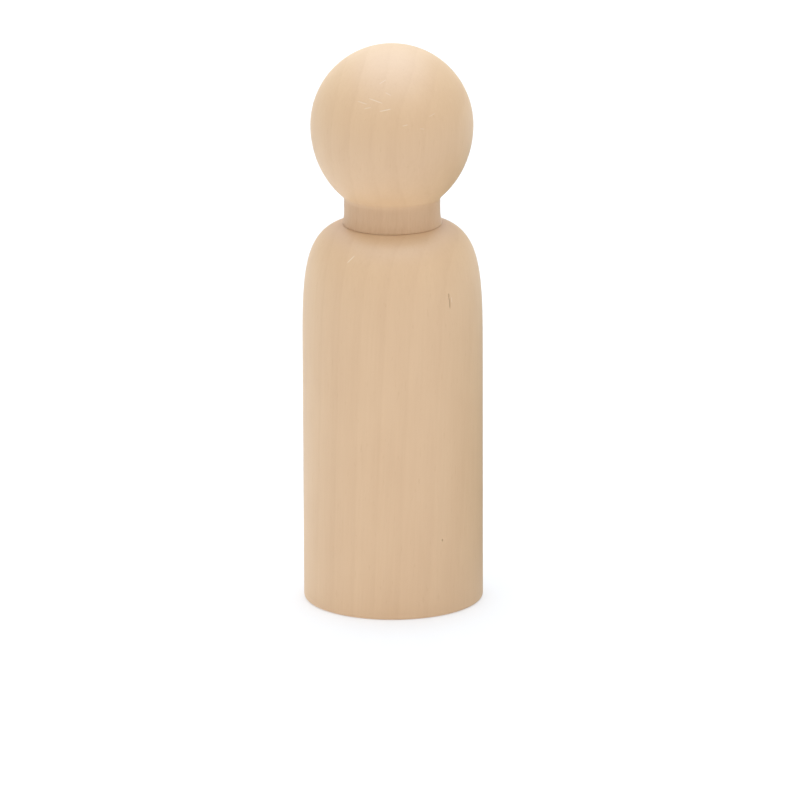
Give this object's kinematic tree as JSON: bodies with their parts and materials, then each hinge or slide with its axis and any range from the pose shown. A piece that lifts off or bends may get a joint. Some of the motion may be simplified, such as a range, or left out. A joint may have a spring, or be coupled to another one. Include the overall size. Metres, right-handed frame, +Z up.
{
  "type": "wooden peg doll",
  "caption": "Unpainted turned wooden peg doll: ball head on a short neck, rounded shoulders, straight round body and flat foot; the head turns on a hidden dowel.",
  "frame": {"origin": "centre of the flat foot, on the surface that the doll stands on", "axes": "+Z up along the turning axis, from the foot to the crown; the doll is round, and -Y is the side that the picture shows"},
  "size_m": [0.0286, 0.0286, 0.09],
  "materials": {
    "body_wood": "bare pale hardwood, turned and fine sanded, no varnish or paint",
    "head_wood": "bare pale hardwood, turned and fine sanded, no varnish or paint",
    "dowel_wood": "bare fluted dowel pin, as cut"
  },
  "bodies": {
    "body": {"body": "body_wood"},
    "head": {"head": "head_wood", "neck_dowel": "dowel_wood"}
  },
  "joints": [
    {"name": "head_turn", "type": "hinge", "parent": "body", "child": "head", "pos_m": [0, 0, 0.0612], "axis": [0, 0, 1], "continuous": true}
  ]
}
